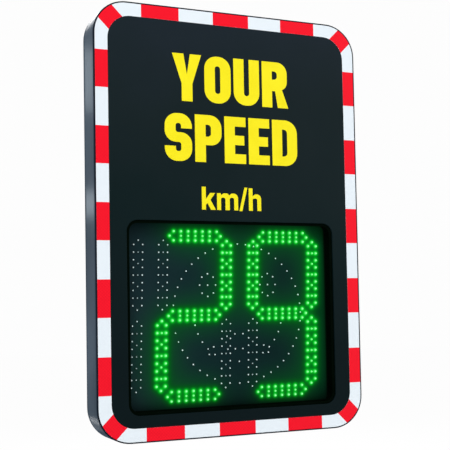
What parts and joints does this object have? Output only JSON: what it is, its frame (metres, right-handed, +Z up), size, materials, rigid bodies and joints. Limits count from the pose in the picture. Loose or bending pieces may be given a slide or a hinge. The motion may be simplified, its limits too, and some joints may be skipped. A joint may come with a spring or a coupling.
{
  "type": "radar speed sign",
  "caption": "Flat rounded roadside speed display with a red and white border, black face, recessed board of green lamps and slotted rear rails for a post.",
  "frame": {"origin": "middle of the four rear slots, in the plane where the rails meet the post", "axes": "+X to the viewer's right, +Y to the rear towards the post, +Z up; the display faces -Y"},
  "size_m": [0.5, 0.087, 0.745],
  "materials": {
    "band_paint": "semi-gloss blue-grey paint",
    "bare_aluminium": "mill finish",
    "cover_paint": "satin grey paint",
    "face_black": "satin black",
    "film_white": "white reflective film",
    "film_red": "red reflective film",
    "hood_black": "deep matt black",
    "seal_rubber": "soft foam rubber",
    "board_black": "black solder mask",
    "lamp_lit": "lit green lamp",
    "lamp_dark": "clear lamp, unlit",
    "socket_black": "black fittings",
    "pack_wrap": "blue shrink wrap",
    "strap_web": "black webbing",
    "card_green": "green circuit board",
    "spacer_brass": "turned brass",
    "component_black": "moulded package",
    "ribbon_grey": "grey flat cable",
    "radar_white": "sensor cover"
  },
  "bodies": {
    "root": {"side_band": "band_paint", "front_angles": "bare_aluminium", "front_panel": "face_black", "border_film_white": "film_white", "border_film_red": "film_red", "window_hood": "hood_black", "board_seal": "seal_rubber", "display_board": "board_black", "digit_leds_lit": "lamp_lit", "digit_leds_dark": "lamp_dark", "face_leds": "lamp_dark", "rear_cover": "cover_paint", "rear_seal": "seal_rubber", "upper_rail": "bare_aluminium", "lower_rail": "bare_aluminium", "charge_socket": "socket_black", "socket_cap": "socket_black", "chassis_plate": "bare_aluminium", "battery_tray": "bare_aluminium", "battery_pack": "pack_wrap", "battery_straps": "strap_web", "controller_board": "card_green", "controller_spacers": "spacer_brass", "controller_chip": "component_black", "controller_coil": "component_black", "terminal_block": "card_green", "controller_header": "component_black", "display_header": "component_black", "ribbon_cable": "ribbon_grey", "radar_module": "radar_white", "radar_bracket": "bare_aluminium"}
  },
  "joints": []
}
